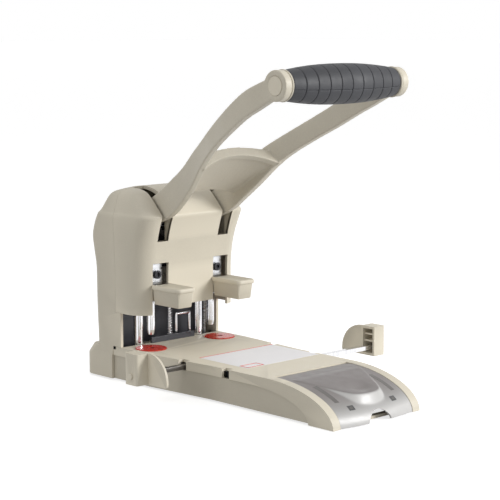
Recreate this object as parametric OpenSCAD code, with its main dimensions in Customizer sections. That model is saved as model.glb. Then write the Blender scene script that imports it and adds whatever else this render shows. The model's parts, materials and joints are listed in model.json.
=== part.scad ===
// Heavy duty two-hole paper punch. A long lever turns two involute cams that press a
// crosshead with two hollow pins down its guide columns onto turnable cutting discs.
// X runs across the punch, -Y is the front, Z = 0 is the table, Y = 0 is the pin row.

/* [Punching] */
// Distance between the two punched holes
pin_pitch = 80; // [76:1:84]
// Outer diameter of a hollow punch pin
pin_d = 8; // [6:0.5:9]
// Distance from the hole row to the edge of the paper
paper_edge = 12; // [11:0.5:13]
// Diameter of a cutting disc
disc_d = 31; // [28:0.5:32]
// Thickness of a cutting disc
disc_t = 4; // [3:0.5:5]
// Diameter of the guide columns
column_d = 10; // [8:0.5:12]
// Distance of the guide columns behind the pins
column_y = 20; // [19:0.5:22]

/* [Lever] */
// Base radius of the involute cams, the slide per radian of lever
cam_r = 50; // [48:0.5:52]
// Height of the lever shaft
pivot_z = 145; // [143:0.5:148]
// Diameter of the lever shaft
shaft_d = 14; // [10:0.5:16]
// Lever angle from the drawn place down to the discs, degrees
angle_down = 13; // [10:0.5:13.5]
// Lever angle from the drawn place up to the stop, degrees
angle_up = 14; // [12:1:15]
// Thickness of a lever arm
arm_t = 8; // [6:0.5:9]
// Height of the grip axis
grip_z = 303; // [298:1:308]
// Distance of the grip axis in front of the pins
grip_reach = 219; // [214:1:224]
// Length of the rubber grip
grip_l = 140; // [130:1:146]
// Diameter of the grip at its middle
grip_d = 37; // [33:0.5:42]
// Diameter of the grip at its ends
grip_end_d = 27; // [24:0.5:32]

/* [Tower] */
// Spread of the tower's shoulders beyond the sides of the base
tower_flare = 2; // [1:0.25:3]
// Wall thickness of the covers
cover_wall = 3; // [2:0.25:3.5]
// Height of the lower edge of the front cover
throat_top = 70; // [66:0.5:71]
// Width of a lever slot in the roof
arm_slot_w = 14; // [12:0.5:16]
// Width of a knob window
window_w = 20; // [17:0.5:22]

/* [Base] */
// Height of the deck
deck_z = 35; // [34:0.5:36]
// Thickness of the deck
deck_t = 3; // [2.5:0.25:3.5]
// Half width of the base beside the tower
base_half_w = 66; // [65:0.5:68]
// Half width of the base at its front
front_half_w = 58; // [57:0.5:61]
// Distance from the pins to the front of the base
base_front = 271; // [266:1:280]
// Height of the rubber strips
strip_h = 2; // [1.5:0.25:3]

/* [Paper guides] */
// Height of a guide bar's section
bar_h = 4.5; // [4:0.25:5.5]
// Width of a guide bar's section
bar_w = 6; // [5:0.25:6.5]
// Drawn-out place of the left stop face
left_stop_x = 110; // [100:1:125]
// Drawn-out place of the right stop face
right_stop_x = 139; // [120:1:145]
// Length of a stop
stop_l = 45; // [40:1:50]
// Height of a stop
stop_h = 30; // [26:0.5:34]

/* [Hidden] */
$fn = 64;

// Clearances
gap = 0.3;
running = 0.05;
seam = 0.2;
eps = 0.01;
big = 400;

// Plastic and finish colours
beige = [0.80, 0.77, 0.71];
beige_dark = [0.70, 0.67, 0.60];
rubber_grey = [0.20, 0.20, 0.21];
steel = [0.72, 0.73, 0.75];
dark_steel = [0.30, 0.31, 0.33];
brass = [0.72, 0.58, 0.33];
red = [0.80, 0.16, 0.12];
smoke = [0.55, 0.54, 0.55, 0.7];

// Inside of the base and the tower over it
tower_half_w = base_half_w;
panel_inset = 1.2;
shell_wall = 3;
inner_half_w = base_half_w - panel_inset - shell_wall;

// Places of the punching parts
pin_x = pin_pitch / 2;
travel_down = cam_r * angle_down * PI / 180;
travel_up = cam_r * angle_up * PI / 180;
disc_proud = 1;
disc_top = deck_z + disc_proud;
disc_off = [6.2, -7.7];
pin_tip = disc_top + gap + travel_down;
pin_bore = pin_d * 0.65;
spindle_d = 6;

// Crosshead that carries the pins
head_z = 84;
head_h = 32;
head_top = head_z + head_h;
head_half_w = tower_half_w - cover_wall - 10;
head_front = -(pin_d / 2 + 2);
head_rear = 33;
pad_h = 6.2;
pad_y0 = -6;
pad_l = 14;
plate_t = 3;
plate_front = head_front - plate_t;
bush_wall = 3;
knob_z = 81;
knob_h = 17;
knob_w = 24;
knob_l = 40;
stem_w = 14;
window_top = 121.5;
window_screw_z = 109.5;
throat_mid = throat_top + 7;

// Lever shaft and cams
pivot_y = cam_r;
plate_in = head_half_w + 2;
plate_out = plate_in + 3;
hub_r = shaft_d / 2 + 7;
cam_x = 15;
cam_t = 10;
arm_in = pin_x - arm_t / 2;
arm_out = pin_x + arm_t / 2;
bush_flange = 1.5;
contact_z = head_top + pad_h + gap;
cam_rest = pivot_z - contact_z;

// Frame screws through the feet of the side plates
screw_y = [column_y + 16, column_y + 28];
screw_in = 9;
screw_d = 5;
screw_head_d = 8.5;
flange_t = 3;
flange_end = 6;

// Stop bar and wire bracket behind the paper
stop_bar_half_w = 29;
stop_bar_t = 2.5;
stop_bar_h = 6;
bracket_x = [9, 27];
bracket_wire = 3;
bracket_up = 25;

// Tie plate between the side plates
tie_plate_y = 2 * column_y;
tie_plate_t = 2.5;
tie_plate_up = 7;
tie_plate_top = head_top + 10;

// Spring on its rod
spring_y = 18.5;
rod_d = 3.4;
wire_d = 1;
spring_r = 2.9;
spring_turns = 17;
spring_z0 = deck_z + gap;
spring_z1 = head_z - gap;

// Base levels
shell_z = strip_h;
shell_floor = shell_z + shell_wall;
bed_t = 6;
bed_top = shell_floor + bed_t;
bed_front = -30;
bed_rear = 58;
bed_half_w = inner_half_w - 1.8;
anvil_half_w = inner_half_w - 0.8;
anvil_step = 6;
shell_rear = 70;
strip_w = 18;
strip_in = 15;
shell_cut = 10;
panel_z = deck_z - 9;
deck_under = deck_z - deck_t;
curve_y = -168;
curve_r = 186;
rail_y = -187;
panel_curve = 75;
panel_front = -240;
waist_y = -110;
wing_y = -25;
waist_half_w = front_half_w + 1;
deck_rear = 28;
foot_rear = shell_rear + gap + cover_wall + 1;
foot_top = 33;
foot_out = 2;
foot_bevel = 6;
foot_corner = 14;
disc_seat = deck_z + disc_proud - disc_t - gap;

// Storage lid at the front of the deck
rail_in = front_half_w - 9.5;
lid_half_w = rail_in - 0.5;
lid_t = 2.2;
lid_lip = 2;
hinge_y = -189;
hinge_r = 2.9;
hinge_z = top_at(hinge_y) - hinge_r;
hinge_pin_d = 2.4;
dome_y = -241;
dome_rear = hinge_y - 16;
dome_top = top_at(dome_rear) + 0.25;
dome_slope = (curve_y - dome_rear) / sqrt(curve_r ^ 2 - (curve_y - dome_rear) ^ 2);
dome_r = 20;
dome_half_w = 38;
notch_r = 16;

// Paper guides
left_bar_y = -73;
right_bar_y = -131;
bar_z = deck_under - 1 - bar_h / 2;
bar_l = 125;
block_l = 18;
block_t = 16;
stop_wall = 2.4;
stop_z = deck_z - 14.5;
stop_corner = 26;
rail_half_l = 52;

// Tower stations: height, front, rear, half width, front and rear corner radius
tower = [
    [-1, -15.5, 61, tower_half_w, 20, 15],
    [33, -15.5, 61, tower_half_w, 20, 15],
    [77, -15.5, 63, tower_half_w, 20, 15],
    [112, -15.8, 63.5, tower_half_w, 20, 15],
    [130, -17.2, 66.5, tower_half_w + 0.3 * tower_flare, 20, 15],
    [144, -19.6, 69, tower_half_w + 0.6 * tower_flare, 19, 15],
    [157, -23.2, 65, tower_half_w + 0.9 * tower_flare, 17, 13],
    [165, -26, 58, tower_half_w + tower_flare, 16, 11],
    [169, -27.2, 52.5, tower_half_w + 0.7 * tower_flare, 16, 10],
    [171, -26.2, 50.3, tower_half_w + 0.1 * tower_flare, 16, 10],
    [180, -17.6, 44.2, tower_half_w - 3, 15, 9],
    [188, -9.4, 38.5, tower_half_w - 6.5, 13, 8],
    [191.5, -4.6, 35, tower_half_w - 9, 11, 8],
    [194.5, 1.5, 30.5, tower_half_w - 13.5, 9, 8],
    [196.5, 8, 26, tower_half_w - 20, 6, 6],
    [197.2, 12, 23, tower_half_w - 23, 4, 4]
];
seam_y = 24;
jaw_y = 16;
slot_bottom = 143.5;
slot_rear = 18;

// Lever arm stations: distance behind the pins, height, side place, width
collar_l = 2.5;
grip_x = grip_l / 2 + collar_l + arm_t / 2;
arm_path = [
    [pivot_y - 6, pivot_z + 3.5, pin_x, 19],
    [10, pivot_z + 19.5, pin_x, 22],
    [-24, 180.5, pin_x, 28],
    [-43, 194, pin_x + 0.3, 27.5],
    [-63.6, 209.8, pin_x + 3.5, 24.5],
    [-80.5, 225, pin_x + 8, 22],
    [-97.4, 237.4, pin_x + 13.8, 19.5],
    [-121.5, 252.5, pin_x + 22.7, 19],
    [-146, 266.6, grip_x - 6.5, 20],
    [46.5 - grip_reach, grip_z - 21, grip_x - 1.5, 21],
    [29 - grip_reach, grip_z - 12.6, grip_x, 21.5],
    [-grip_reach, grip_z, grip_x, 18]
];
boss_d = grip_end_d + 1;
boss_out = grip_x + arm_t / 2;
cap_d = 17;
cap_l = 3;
grip_rod_d = 12;

// Shape helpers
function lerp(a, b, t) = a + (b - a) * t;
function top_at(y, drop = 0) = y > curve_y ? deck_z - drop
    : deck_z - curve_r + sqrt((curve_r - drop) ^ 2 - (y - curve_y) ^ 2);
function half_w(y) = y > wing_y ? base_half_w
    : y > waist_y ? lerp(base_half_w, waist_half_w, (wing_y - y) / (wing_y - waist_y))
    : lerp(waist_half_w, front_half_w, (waist_y - y) / (waist_y + base_front));
function arc(c, r, a0, a1, n) =
    [for (i = [0:n]) [c.x + r * cos(lerp(a0, a1, i / n)), c.y + r * sin(lerp(a0, a1, i / n))]];
function round_box(x0, y0, x1, y1, r0, r1, n = 5) = concat(
    arc([x1 - r0, y0 + r0], r0, -90, 0, n), arc([x1 - r1, y1 - r1], r1, 0, 90, n),
    arc([x0 + r1, y1 - r1], r1, 90, 180, n), arc([x0 + r0, y0 + r0], r0, 180, 270, n));

module sides() {
    children();
    mirror([1, 0, 0]) children();
}

// Extrudes a profile drawn in the Y-Z plane from x0 to x1
module along_x(x0, x1) {
    translate([x0, 0, 0]) rotate([90, 0, 90]) linear_extrude(x1 - x0) children();
}

module rod_x(x0, x1, y, z, d) {
    translate([x0, y, z]) rotate([0, 90, 0]) cylinder(d = d, h = x1 - x0);
}

module rod_y(y0, y1, x, z, d) {
    translate([x, y0, z]) rotate([-90, 0, 0]) cylinder(d = d, h = y1 - y0);
}

module rod_z(z0, z1, x, y, d) {
    translate([x, y, z0]) cylinder(d = d, h = z1 - z0);
}

module block(x0, x1, y0, y1, z0, z1) {
    translate([x0, y0, z0]) cube([x1 - x0, y1 - y0, z1 - z0]);
}

// Closed solid through rings of points that all turn the same way
module loft(rings) {
    n = len(rings[0]);
    m = len(rings);
    polyhedron(
        points = [for (ring = rings) each ring],
        faces = concat(
            [[for (i = [0:n - 1]) i]],
            [[for (i = [n - 1:-1:0]) (m - 1) * n + i]],
            [for (j = [0:m - 2], i = [0:n - 1]) [j * n + i, (j + 1) * n + i, (j + 1) * n + (i + 1) % n]],
            [for (j = [0:m - 2], i = [0:n - 1])
                [j * n + i, (j + 1) * n + (i + 1) % n, j * n + (i + 1) % n]]));
}

// Base
function base_plan(inset, rear, cut) = let (w = base_half_w - inset, q = waist_half_w - inset,
    f = front_half_w - inset) [[cut - w, rear], [-w, rear - cut], [-w, wing_y], [-q, waist_y],
    [-f, -base_front], [f, -base_front], [q, waist_y], [w, wing_y], [w, rear - cut], [w - cut, rear]];

module base_prism(inset, rear, z0, z1, cut = 0) {
    translate([0, 0, z0]) linear_extrude(z1 - z0) polygon(base_plan(inset, rear, cut));
}

// Side profile of the deck: flat, then a round nose; drop lowers the whole outline
module deck_profile(drop) {
    translate([curve_y - eps, -1]) square([deck_rear - curve_y + eps, deck_z + 1 - drop]);
    intersection() {
        translate([curve_y, deck_z - curve_r]) circle(curve_r - drop, $fn = 180);
        translate([-base_front - 1, -1]) square([base_front + curve_y + 1, deck_z + 1]);
    }
}

// Side profile of the rails: flat, then an elliptical nose that comes down to the table
module rail_profile(drop) {
    reach = base_front + rail_y - drop;
    polygon(concat([[deck_rear + 1, -1], [deck_rear + 1, deck_z - drop]],
        [for (a = [90:-5:0]) [rail_y - reach * cos(a), (deck_z - drop) * sin(a)]], [[rail_y - reach, -1]]));
}

// Side panel under the deck band, with an elliptical front end
module panel_profile() {
    polygon(concat([[shell_rear, -1], [shell_rear, panel_z]],
        [for (a = [90:-7.5:0]) [curve_y + 3 - panel_curve * cos(a), panel_z * sin(a)]],
        [[panel_front, -1]]));
}

module bar_port(y, z0, z1) {
    block(-big / 2, big / 2, y - bar_w / 2 - 2, y + bar_w / 2 + 2, z0, z1);
}

module base_shell() {
    color(beige_dark) difference() {
        intersection() {
            base_prism(panel_inset, shell_rear, shell_z, panel_z, shell_cut);
            along_x(-big / 2, big / 2) panel_profile();
        }
        intersection() {
            base_prism(panel_inset + shell_wall, shell_rear - shell_wall, shell_floor, deck_z, shell_cut);
            block(-big / 2, big / 2, panel_front - 1, shell_rear, 0, deck_z);
        }
        for (y = [left_bar_y, right_bar_y]) bar_port(y, bar_z - bar_h / 2 - 1, deck_z);
    }
}

module rubber_strip(y, half) {
    block(-half, half, y - strip_w / 2, y + strip_w / 2, 0, strip_h);
}

module rubber_strips() {
    color(rubber_grey) {
        for (y = [bed_front + 1.5 * strip_w, bed_rear - strip_w / 6]) rubber_strip(y, base_half_w - strip_in);
        rubber_strip(panel_front + 1.2 * strip_w, front_half_w - strip_in);
    }
}

// Deck and side rails before they are cut out, with a wall on the inner side of each rail
module deck_hull(skirt) {
    difference() {
        intersection() {
            base_prism(0, deck_rear, 0.6, deck_z);
            along_x(-big / 2, big / 2) rail_profile(0);
        }
        intersection() {
            base_prism(skirt, deck_rear + 1, 0, deck_z);
            along_x(-big / 2, big / 2) rail_profile(deck_t);
        }
    }
    sides() intersection() {
        block(rail_in, rail_in + 2, -base_front, hinge_y - hinge_r, 0.6, deck_z);
        along_x(-big / 2, big / 2) rail_profile(0);
    }
}

module deck_cover() {
    skirt = 3;
    tie_y = -263;
    tie_top = top_at(tie_y, 2 * lid_t) - gap;
    color(beige) difference() {
        union() {
            difference() {
                deck_hull(skirt);
                along_x(-big / 2, big / 2) panel_profile();
                block(-rail_in, rail_in, -base_front - 1, hinge_y + hinge_r + gap, 0, deck_z + 1);
                deck_well();
            }
            block(2.5 - front_half_w, front_half_w - 2.5, tie_y, tie_y + 6, 0.6, tie_top);
            sides() block(rail_in, rail_in + 4, hinge_y - 4, hinge_y + 4, hinge_z - 3.5, hinge_z + 1.6);
        }
        for (s = [-1, 1])
            rod_z(deck_under - 1, deck_z + 1, s * (pin_x + disc_off.x), disc_off.y, disc_d + 2 * gap + 0.2);
        for (y = [left_bar_y, right_bar_y]) {
            bar_port(y, 0, deck_under);
            sides() block(half_w(y) - 6, big / 2, y - bar_w / 2 - 2, y + bar_w / 2 + 2, 0, big);
        }
        rod_x(-rail_in - 3, rail_in + 3, hinge_y, hinge_z, hinge_pin_d + 2 * gap);
    }
}

// Opening in the deck behind the paper stop, round the columns
module deck_well() {
    inner = base_half_w - 3;
    difference() {
        block(-inner, inner, paper_edge + 4, deck_rear + 1, deck_under - 1, deck_z + 1);
        block(-30, 30, 0, deck_rear - 4, deck_under - 1, deck_z + 1);
    }
    for (s = [-1, 1]) rod_z(deck_under - 1, deck_z + 1, s * pin_x, column_y, column_d + 3);
}

module bed_plate() {
    color(steel) difference() {
        block(-bed_half_w, bed_half_w, bed_front, bed_rear, shell_floor, bed_top);
        for (s = [-1, 1]) rod_z(shell_floor - 1, bed_top + 1, s * pin_x, column_y, column_d);
    }
}

module anvil_block() {
    color(steel) difference() {
        block(-anvil_half_w, anvil_half_w, bed_front + anvil_step, paper_edge - 2, bed_top, disc_seat);
        for (s = [-1, 1]) rod_z(bed_top + 2, deck_z, s * (pin_x + disc_off.x), disc_off.y, spindle_d);
    }
}

// Frame
module frame_plate() {
    color(steel) difference() {
        union() {
            along_x(plate_in, plate_out) polygon([[27, bed_top], [54.5, bed_top], [56.5, 96], [59.5, 130],
                [62, pivot_z], [pivot_y + 7, pivot_z + 13], [pivot_y - 7, pivot_z + 14],
                [column_y - 9, pivot_z - 3], [column_y - 9, pivot_z - 19], [27, pivot_z - 32]]);
            block(plate_in - 2 * screw_in, plate_in + eps, screw_y[0] - flange_end, screw_y[1] + flange_end,
                bed_top, bed_top + flange_t);
        }
        rod_x(plate_in - 1, plate_out + 1, pivot_y, pivot_z, shaft_d + 6);
        for (y = screw_y) rod_z(bed_top - 1, bed_top + flange_t + 1, plate_in - screw_in, y, screw_d);
    }
}

module frame_plate_left() { mirror([1, 0, 0]) frame_plate(); }
module frame_plate_right() { frame_plate(); }

// Tie plate between the side plates, behind the columns
module frame_back() {
    color(dark_steel) block(-plate_in, plate_in, tie_plate_y, tie_plate_y + tie_plate_t,
        bed_top + tie_plate_up, tie_plate_top);
}

module frame_screws() {
    head_t = 3;
    color(dark_steel) sides() for (y = screw_y) {
        rod_z(bed_top + flange_t, bed_top + flange_t + head_t, plate_in - screw_in, y, screw_head_d);
        rod_z(bed_top, bed_top + flange_t + eps, plate_in - screw_in, y, screw_d);
    }
}

bracket_z = head_top + travel_up + 2 * gap;
bracket_h = 4.5;

module guide_columns() {
    color(steel) for (s = [-1, 1]) rod_z(shell_floor, bracket_z + bracket_h, s * pin_x, column_y, column_d);
}

module column_brackets() {
    color(dark_steel) sides() difference() {
        block(pin_x - column_d / 2 - 2, plate_in, column_y - 7, column_y + 7,
            bracket_z, bracket_z + bracket_h);
        rod_z(bracket_z - 1, bracket_z + bracket_h + 1, pin_x, column_y, column_d);
    }
}

module pivot_bushes() {
    color(brass) sides() difference() {
        union() {
            rod_x(plate_in, plate_out, pivot_y, pivot_z, shaft_d + 6);
            rod_x(plate_in - bush_flange, plate_in, pivot_y, pivot_z, shaft_d + 12);
        }
        rod_x(plate_in - 2, plate_out + 1, pivot_y, pivot_z, shaft_d + 2 * running);
    }
}

// Tower covers
function tower_ring(s, in) = [for (p = round_box(-s[3] + in, s[1] + in, s[3] - in, s[2] - in,
    max(s[4] - in, 2), max(s[5] - in, 2))) [p.x, p.y, s[0]]];

module tower_outer() { loft([for (s = tower) tower_ring(s, 0)]); }

// The cavity follows the outside one wall thickness further in
module tower_inner() {
    loft([for (s = tower) let (drop = s[0] > 171 ? cover_wall : 0)
        [for (p = tower_ring(s, cover_wall)) [p.x, p.y, p.z - drop]]]);
}

module front_cover() {
    color(beige) difference() {
        intersection() {
            tower_outer();
            block(-big, big, -big, seam_y, throat_top, big);
        }
        tower_inner();
        for (s = [-1, 1]) {
            block(s * pin_x - arm_slot_w / 2, s * pin_x + arm_slot_w / 2, -big, slot_rear, slot_bottom, big);
            block(s * pin_x - window_w / 2, s * pin_x + window_w / 2, -big, 0, throat_top - 1, window_top);
        }
        block(-pin_x, pin_x, -big, 0, throat_top - 1, throat_mid);
    }
}

// Spreading foot of the rear cover with a bevelled top
module foot(in) {
    w = base_half_w + foot_out;
    loft([for (s = [[shell_z, 0], [foot_top - 1.5 * foot_bevel, 0], [foot_top, foot_bevel]])
        [for (p = round_box(-w + in + s[1] / 3, deck_rear + seam, w - in - s[1] / 3,
            foot_rear - in - s[1], 0.5, foot_corner)) [p.x, p.y, s[0]]]]);
}

module rear_cover() {
    color(beige) difference() {
        union() {
            intersection() {
                tower_outer();
                union() {
                    block(-big, big, seam_y + seam, big, deck_z + seam, big);
                    block(-big, big, deck_rear + seam, big, foot_top - 1, deck_z + 1);
                    block(-big, big, jaw_y, big, deck_z + seam, throat_top - seam);
                }
            }
            foot(0);
        }
        tower_inner();
        base_prism(panel_inset - gap, shell_rear + gap, 0, panel_z + gap, shell_cut);
    }
}

// Throat furniture
module paper_stop() {
    color(dark_steel) block(-stop_bar_half_w, stop_bar_half_w, paper_edge, paper_edge + stop_bar_t,
        deck_z, deck_z + stop_bar_h);
}

module stop_bracket() {
    top = deck_z + bracket_up;
    color(steel) {
        for (x = bracket_x) rod_z(deck_z, top, x, spring_y, bracket_wire);
        rod_x(bracket_x[0], bracket_x[1], spring_y, top, bracket_wire);
        for (x = bracket_x) translate([x, spring_y, top]) sphere(d = bracket_wire);
    }
}

module spring_rod() {
    color(steel) rod_z(deck_z, head_z + 16, 0, spring_y, rod_d);
}

// Spring wire: a straight tail, the curls, and a straight tail
rings_per_turn = 8;
coil_z0 = spring_z0 + 1.5 * wire_d;
coil_z1 = spring_z1 - 1.5 * wire_d;
coil_n = spring_turns * rings_per_turn;
spring_path = concat(
    [[spring_r, 0, spring_z0], [spring_r, 0, spring_z0 + wire_d]],
    [for (i = [0:coil_n]) let (a = 360 * i / rings_per_turn)
        [spring_r * cos(a), spring_r * sin(a), lerp(coil_z0, coil_z1, i / coil_n)]],
    [[spring_r, 0, spring_z1 - wire_d], [spring_r, 0, spring_z1]]);
function unit(v) = v / norm(v);
function wire_ring(path, i, r, sides_n) = let (n = len(path),
    t = unit(path[min(i + 1, n - 1)] - path[max(i - 1, 0)]),
    out = unit([path[i].x, path[i].y, 0]), u = unit(out - t * (out * t)), v = cross(t, u))
    [for (k = [0:sides_n - 1]) path[i] + r * (cos(360 * k / sides_n) * u + sin(360 * k / sides_n) * v)];

module return_spring() {
    color(steel) translate([0, spring_y, 0])
        loft([for (i = [0:len(spring_path) - 1]) wire_ring(spring_path, i, wire_d / 2, 6)]);
}

module disc_spindles() {
    color(dark_steel) for (s = [-1, 1])
        rod_z(bed_top + 2, disc_top - 0.6, s * (pin_x + disc_off.x), disc_off.y, spindle_d);
}

module cutting_disc(s) {
    x = s * (pin_x + disc_off.x);
    color(red) difference() {
        rod_z(disc_top - disc_t, disc_top, x, disc_off.y, disc_d);
        rod_z(disc_top - disc_t - 1, disc_top + 1, x, disc_off.y, spindle_d + 2 * running);
        for (a = [0:30:330]) translate([x, disc_off.y, disc_top - disc_t - 1]) rotate(a)
            translate([disc_d / 2 + 0.6, 0, 0]) cylinder(d = 2.4, h = disc_t + 2);
    }
}

module cutting_disc_left() { cutting_disc(-1); }
module cutting_disc_right() { cutting_disc(1); }

// Crosshead and what it carries
module crosshead() {
    plan = concat([[-head_half_w, head_front + 4], [-head_half_w + 4, head_front]],
        [[-26, head_front], [-22, head_front + 7], [22, head_front + 7], [26, head_front]],
        [[head_half_w - 4, head_front], [head_half_w, head_front + 4]],
        [[head_half_w, head_rear], [26, head_rear], [22, head_rear - 6], [-22, head_rear - 6],
            [-26, head_rear], [-head_half_w, head_rear]]);
    color(steel) difference() {
        union() {
            translate([0, 0, head_z]) linear_extrude(head_h) polygon(plan);
            block(-30, 30, pad_y0, pad_y0 + pad_l, head_top - 10, head_top);
        }
        for (s = [-1, 1]) {
            rod_z(head_z - 1, head_top + 1, s * pin_x, column_y, column_d + 2 * bush_wall);
            rod_z(head_z - 1, head_top + 1, s * pin_x, 0, pin_d);
            rod_y(head_front - 1, 0, s * pin_x, window_screw_z, screw_d);
        }
        rod_z(head_z - 1, head_top + 1, 0, spring_y, rod_d + 2 * gap);
    }
}

module crosshead_bushes() {
    color(brass) for (s = [-1, 1]) difference() {
        rod_z(head_z, head_top, s * pin_x, column_y, column_d + 2 * bush_wall);
        rod_z(head_z - 1, head_top + 1, s * pin_x, column_y, column_d + 2 * running);
    }
}

module cam_pads() {
    color(dark_steel) sides()
        block(cam_x - 2, cam_x + cam_t + 2, pad_y0, pad_y0 + pad_l, head_top, head_top + pad_h);
}

module punch_pin(s) {
    edge = pin_bore / 2 + 0.4;
    head_r = pin_d / 2 + 2;
    color(steel) translate([s * pin_x, 0, 0]) rotate_extrude() polygon([
        [pin_bore / 2, pin_tip], [edge, pin_tip], [pin_d / 2, pin_tip + 5], [pin_d / 2, head_top],
        [head_r, head_top], [head_r, head_top + 3], [pin_bore / 2, head_top + 3]]);
}

module punch_pin_left() { punch_pin(-1); }
module punch_pin_right() { punch_pin(1); }

module clamp_plates() {
    w = window_w - 5;
    color(steel) for (s = [-1, 1]) difference() {
        block(s * pin_x - w / 2, s * pin_x + w / 2, plate_front, head_front, knob_z + 1, head_top + 4);
        rod_y(plate_front - 1, head_front + 1, s * pin_x, window_screw_z, screw_d);
    }
}

module clamp_screws() {
    color(dark_steel) for (s = [-1, 1]) difference() {
        union() {
            rod_y(plate_front - 3, plate_front, s * pin_x, window_screw_z, screw_head_d);
            rod_y(plate_front, -pin_d / 2 - 0.5, s * pin_x, window_screw_z, screw_d);
        }
        translate([s * pin_x, plate_front - 1.2, window_screw_z]) rotate([90, 30, 0])
            cylinder(d = 0.54 * screw_head_d, h = 4, $fn = 6);
    }
}

// Knob plan with a bowed front, grown by g on three sides
function knob_plan(g) = let (w = knob_w / 2 - 1.5 + g, y0 = -15.5 - 0.9, y1 = y0 - knob_l + 2 - g)
    concat([[w, y0], [-w, y0]], arc([-w + 3, y1 + 3.8], 3, 180, 262, 5), [[0, y1]],
        arc([w - 3, y1 + 3.8], 3, 278, 360, 5));

module knob(s) {
    color(beige) translate([s * pin_x, 0, 0]) {
        hull() {
            translate([0, 0, knob_z]) linear_extrude(eps) polygon(knob_plan(-1.8));
            translate([0, 0, knob_z + knob_h - 4]) linear_extrude(eps) polygon(knob_plan(0));
        }
        hull() {
            translate([0, 0, knob_z + knob_h - 4]) linear_extrude(2.4) polygon(knob_plan(1.5));
            translate([0, 0, knob_z + knob_h - eps]) linear_extrude(eps) polygon(knob_plan(0.2));
        }
        block(-stem_w / 2, stem_w / 2, -18, plate_front, knob_z + 3, knob_z + knob_h - 4);
    }
}

module knob_left() { knob(-1); }
module knob_right() { knob(1); }

// Lever
function spline(p, i, t) = let (n = len(p) - 1, a = p[max(i - 1, 0)], b = p[i],
    c = p[min(i + 1, n)], d = p[min(i + 2, n)])
    0.5 * (2 * b + (c - a) * t + (2 * a - 5 * b + 4 * c - d) * t ^ 2 + (3 * b - a - 3 * c + d) * t ^ 3);
arm_steps = 3;
arm_points = concat(
    [for (i = [0:len(arm_path) - 2], k = [0:arm_steps - 1]) spline(arm_path, i, k / arm_steps)],
    [arm_path[len(arm_path) - 1]]);
arm_n = len(arm_points);
function arm_dir(i) = unit([arm_points[min(i + 1, arm_n - 1)][0] - arm_points[max(i - 1, 0)][0],
    arm_points[min(i + 1, arm_n - 1)][1] - arm_points[max(i - 1, 0)][1]]);
// Point beside station i in the side view, n along the arm's upward normal
function arm_edge(i, n) = let (d = arm_dir(i)) [arm_points[i][0] + n * d.y, arm_points[i][1] - n * d.x];
function arm_strip(i, t) = [arm_points[i][2] + t - (i < 2 ? sign(t) * 0.4 : 0), arm_points[i][0]];

// Vaulted web between the arms: its ends in the side view, crown, radii and thickness
web_rear = [-38, 190.5];
web_front = [-86, 229.3];
web_l = norm(web_front - web_rear);
web_crown = 5;
web_r = 150;
web_under_r = 100;
web_t = 4;
web_rim = 7;
web_dir = (web_front - web_rear) / web_l;

// One arm: the side view's curved band, cut by the strip that it takes in plan
module lever_arm() {
    side = concat([for (i = [0:arm_n - 1]) arm_edge(i, arm_points[i][3] / 2)],
        [for (i = [arm_n - 1:-1:0]) arm_edge(i, -arm_points[i][3] / 2)]);
    plan = concat([[pin_x + arm_t / 2 - 0.4, pivot_y + 20]],
        [for (i = [0:arm_n - 1]) arm_strip(i, arm_t / 2)],
        [[grip_x + arm_t / 2, -grip_reach - 20], [grip_x - arm_t / 2, -grip_reach - 20]],
        [for (i = [arm_n - 1:-1:0]) arm_strip(i, -arm_t / 2)], [[pin_x - arm_t / 2 + 0.4, pivot_y + 20]]);
    intersection() {
        along_x(0, 100) polygon(side);
        linear_z(pivot_z - 30, grip_z + 30) polygon(plan);
    }
}

module web_arch(l, t0, t1) {
    linear_extrude(l) difference() {
        translate([0, web_crown - web_r]) circle(web_r + t1, $fn = 180);
        translate([0, web_crown - t0 - web_under_r]) circle(web_under_r, $fn = 180);
        translate([-big, -big - 30]) square([2 * big, big]);
    }
}

module lever_web() {
    inner = [for (i = [5:20]) arm_strip(i, 2 - arm_t / 2)];
    intersection() {
        translate([0, web_rear.x, web_rear.y])
            rotate([90 - atan2(web_dir.y, -web_dir.x), 0, 0]) {
            web_arch(web_l, web_t / 2, web_t / 2);
            translate([0, 0, web_l - web_rim]) web_arch(web_rim, web_t / 2 + 1.5, web_t / 2 + 4);
        }
        linear_z(pivot_z, grip_z)
            polygon(concat(inner, [for (k = [len(inner) - 1:-1:0]) [-inner[k].x, inner[k].y]]));
    }
}

module lever_yoke() {
    color(beige) difference() {
        union() {
            sides() {
                lever_arm();
                rod_x(arm_in, arm_out, pivot_y, pivot_z, 2 * hub_r);
                rod_x(grip_l / 2 + collar_l, boss_out, -grip_reach, grip_z, boss_d);
            }
            lever_web();
        }
        rod_x(-plate_in, plate_in, pivot_y, pivot_z, shaft_d);
        rod_x(-boss_out, boss_out, -grip_reach, grip_z, grip_rod_d);
        sides() rod_x(boss_out - cap_l, boss_out + 1, -grip_reach, grip_z, cap_d);
    }
}

// Cam outline: an involute of the base circle, so the pads move in step with the lever
function involute(a) = let (reach = cam_rest + cam_r * a * PI / 180)
    [-cam_r * cos(a) - reach * sin(a), cam_r * sin(a) - reach * cos(a)];

module cam_outline() {
    nose = involute(angle_down + 1);
    polygon(concat([[0, hub_r], [-30, 8], [nose.x + 1, 0], [nose.x - 1.5, nose.y + 10]],
        [for (i = [0:12]) involute(lerp(angle_down + 1, -angle_up - 1, i / 12))],
        [[-36, -15], [-hub_r * 0.8, -hub_r * 0.6], [0, 0]]));
    circle(hub_r);
}

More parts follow.
